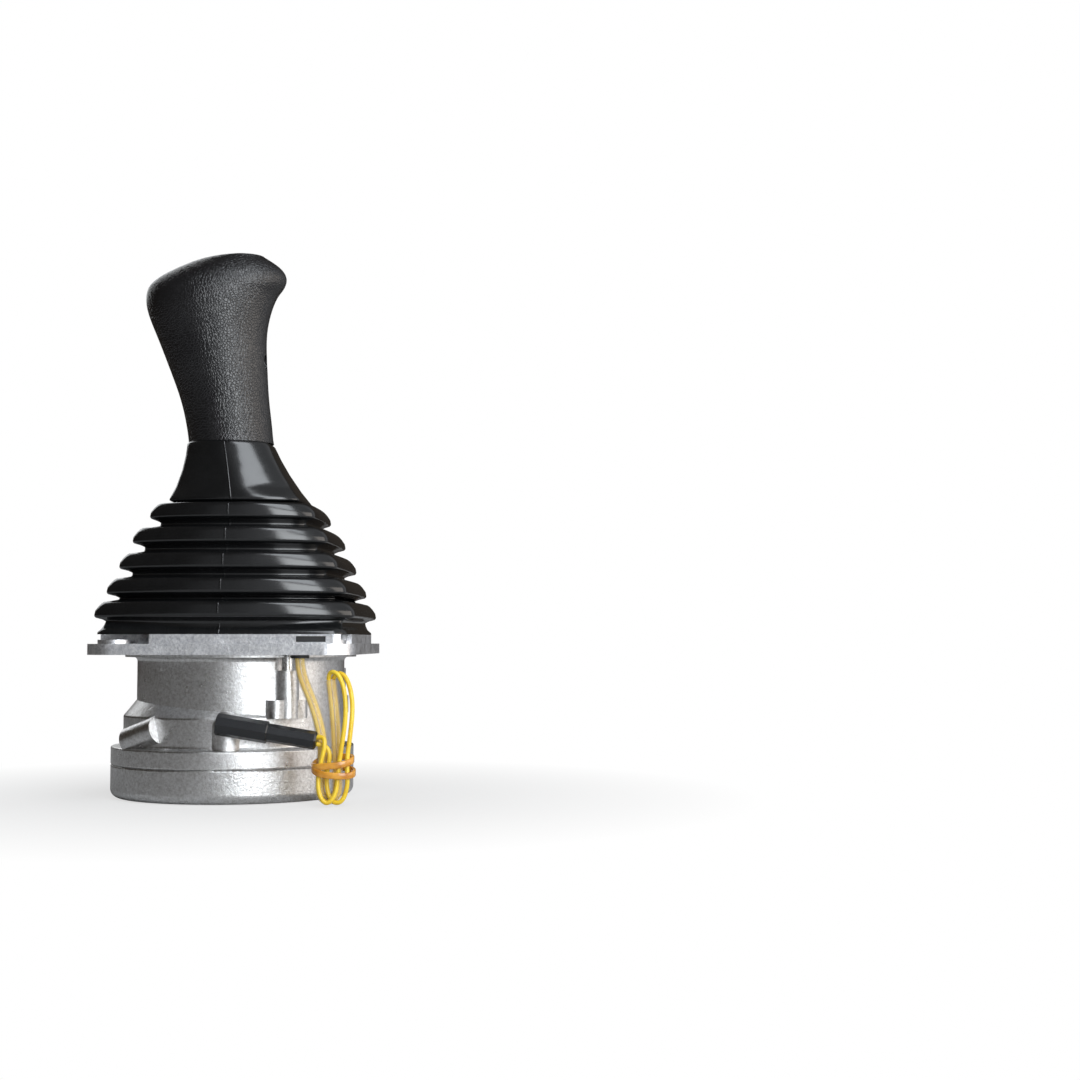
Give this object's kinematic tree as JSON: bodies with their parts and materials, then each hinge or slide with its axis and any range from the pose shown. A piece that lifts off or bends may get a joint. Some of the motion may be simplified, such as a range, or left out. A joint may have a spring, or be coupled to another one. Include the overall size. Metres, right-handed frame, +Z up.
{
  "type": "hydraulic pilot joystick valve",
  "caption": "Two-axis hydraulic pilot valve with a raked hand grip, a square bellows boot, a mounting plate, a round cast casing and a horn lead with connector.",
  "frame": {"origin": "centre of the model's footprint on the bottom face of the port block; the lever axis passes through it", "axes": "+Z up along the upright lever, -Y towards the front, where the lead hangs, +X to the right"},
  "size_m": [0.119, 0.1216, 0.2524],
  "materials": {
    "cast_aluminium": "sand-cast, lightly tumbled",
    "machined_aluminium": "die-cast and machined",
    "zinc_steel": "bright zinc plated",
    "hard_steel": "ground steel",
    "spring_steel": "drawn wire",
    "seal_rubber": "nitrile rubber",
    "boot_rubber": "smooth moulded rubber with a satin gloss",
    "grip_skin": "fine leather grain moulded in",
    "black_plastic": "smooth moulding",
    "clear_pvc": "clear flexible sleeve, yellowed",
    "yellow_wire": "smooth insulation",
    "amber_rubber": "natural rubber band"
  },
  "bodies": {
    "valve": {"port_block": "cast_aluminium", "casing": "cast_aluminium", "casing_neck": "cast_aluminium", "mounting_plate": "machined_aluminium", "retaining_plate": "zinc_steel", "joint_base": "hard_steel", "block_seals": "seal_rubber", "bush_seals": "seal_rubber", "rod_seals": "seal_rubber", "block_screws": "zinc_steel", "plate_screws": "zinc_steel", "boot": "boot_rubber", "cable_grommet": "seal_rubber", "lead_sleeve": "clear_pvc", "lead_a": "yellow_wire", "lead_b": "yellow_wire", "connector_plug": "black_plastic", "connector_socket": "black_plastic", "rubber_band": "amber_rubber", "guide_bush_right": "zinc_steel", "guide_bush_rear": "zinc_steel", "guide_bush_left": "zinc_steel", "guide_bush_front": "zinc_steel", "return_spring_right": "spring_steel", "return_spring_rear": "spring_steel", "return_spring_left": "spring_steel", "return_spring_front": "spring_steel"},
    "spider": {"joint_spider": "hard_steel"},
    "lever": {"joint_yoke": "hard_steel", "cam_plate": "hard_steel", "lock_nut": "zinc_steel", "lever_rod": "zinc_steel", "grip": "grip_skin", "grip_cap": "black_plastic", "switch_body": "black_plastic", "grip_screw": "zinc_steel", "button_spring": "spring_steel"},
    "button": {"thumb_button": "black_plastic"},
    "push_rod_right": {"push_rod_right": "hard_steel", "spring_seat_right": "zinc_steel"},
    "spool_right": {"spool_right": "hard_steel", "metering_spring_right": "spring_steel"},
    "push_rod_rear": {"push_rod_rear": "hard_steel", "spring_seat_rear": "zinc_steel"},
    "spool_rear": {"spool_rear": "hard_steel", "metering_spring_rear": "spring_steel"},
    "push_rod_left": {"push_rod_left": "hard_steel", "spring_seat_left": "zinc_steel"},
    "spool_left": {"spool_left": "hard_steel", "metering_spring_left": "spring_steel"},
    "push_rod_front": {"push_rod_front": "hard_steel", "spring_seat_front": "zinc_steel"},
    "spool_front": {"spool_front": "hard_steel", "metering_spring_front": "spring_steel"}
  },
  "joints": [
    {"name": "tilt_front_rear", "type": "hinge", "parent": "valve", "child": "spider", "pos_m": [0, 0, 0.08], "axis": [1, 0, 0], "range_deg": [-19, 19], "stiffness_Nm_per_rad": 5},
    {"name": "tilt_left_right", "type": "hinge", "parent": "spider", "child": "lever", "pos_m": [0, 0, 0.08], "axis": [0, 1, 0], "range_deg": [-19, 19], "stiffness_Nm_per_rad": 5, "deforming": ["boot"]},
    {"name": "button_press", "type": "slide", "parent": "lever", "child": "button", "axis": [0, 0, 1], "range_m": [-0.0018, 0], "stiffness_N_per_m": 600, "springref_m": 0.001, "deforming": ["button_spring"]},
    {"name": "rod_slide_right", "type": "slide", "parent": "valve", "child": "push_rod_right", "axis": [0, 0, 1], "range_m": [-0.0077, 0.0077], "deforming": ["return_spring_right", "metering_spring_right"]},
    {"name": "spool_slide_right", "type": "slide", "parent": "valve", "child": "spool_right", "axis": [0, 0, 1], "range_m": [-0.00165, 0.00165]},
    {"name": "rod_slide_rear", "type": "slide", "parent": "valve", "child": "push_rod_rear", "axis": [0, 0, 1], "range_m": [-0.0077, 0.0077], "deforming": ["return_spring_rear", "metering_spring_rear"]},
    {"name": "spool_slide_rear", "type": "slide", "parent": "valve", "child": "spool_rear", "axis": [0, 0, 1], "range_m": [-0.00165, 0.00165]},
    {"name": "rod_slide_left", "type": "slide", "parent": "valve", "child": "push_rod_left", "axis": [0, 0, 1], "range_m": [-0.0077, 0.0077], "deforming": ["return_spring_left", "metering_spring_left"]},
    {"name": "spool_slide_left", "type": "slide", "parent": "valve", "child": "spool_left", "axis": [0, 0, 1], "range_m": [-0.00165, 0.00165]},
    {"name": "rod_slide_front", "type": "slide", "parent": "valve", "child": "push_rod_front", "axis": [0, 0, 1], "range_m": [-0.0077, 0.0077], "deforming": ["return_spring_front", "metering_spring_front"]},
    {"name": "spool_slide_front", "type": "slide", "parent": "valve", "child": "spool_front", "axis": [0, 0, 1], "range_m": [-0.00165, 0.00165]}
  ],
  "couplings": [
    {"joint": "rod_slide_right", "follows": "tilt_left_right", "m_per_rad": -0.022843},
    {"joint": "spool_slide_right", "follows": "tilt_left_right", "m_per_rad": -0.0048249},
    {"joint": "rod_slide_rear", "follows": "tilt_front_rear", "m_per_rad": 0.022843},
    {"joint": "spool_slide_rear", "follows": "tilt_front_rear", "m_per_rad": 0.0048249},
    {"joint": "rod_slide_left", "follows": "tilt_left_right", "m_per_rad": 0.022843},
    {"joint": "spool_slide_left", "follows": "tilt_left_right", "m_per_rad": 0.0048249},
    {"joint": "rod_slide_front", "follows": "tilt_front_rear", "m_per_rad": -0.022843},
    {"joint": "spool_slide_front", "follows": "tilt_front_rear", "m_per_rad": -0.0048249}
  ]
}
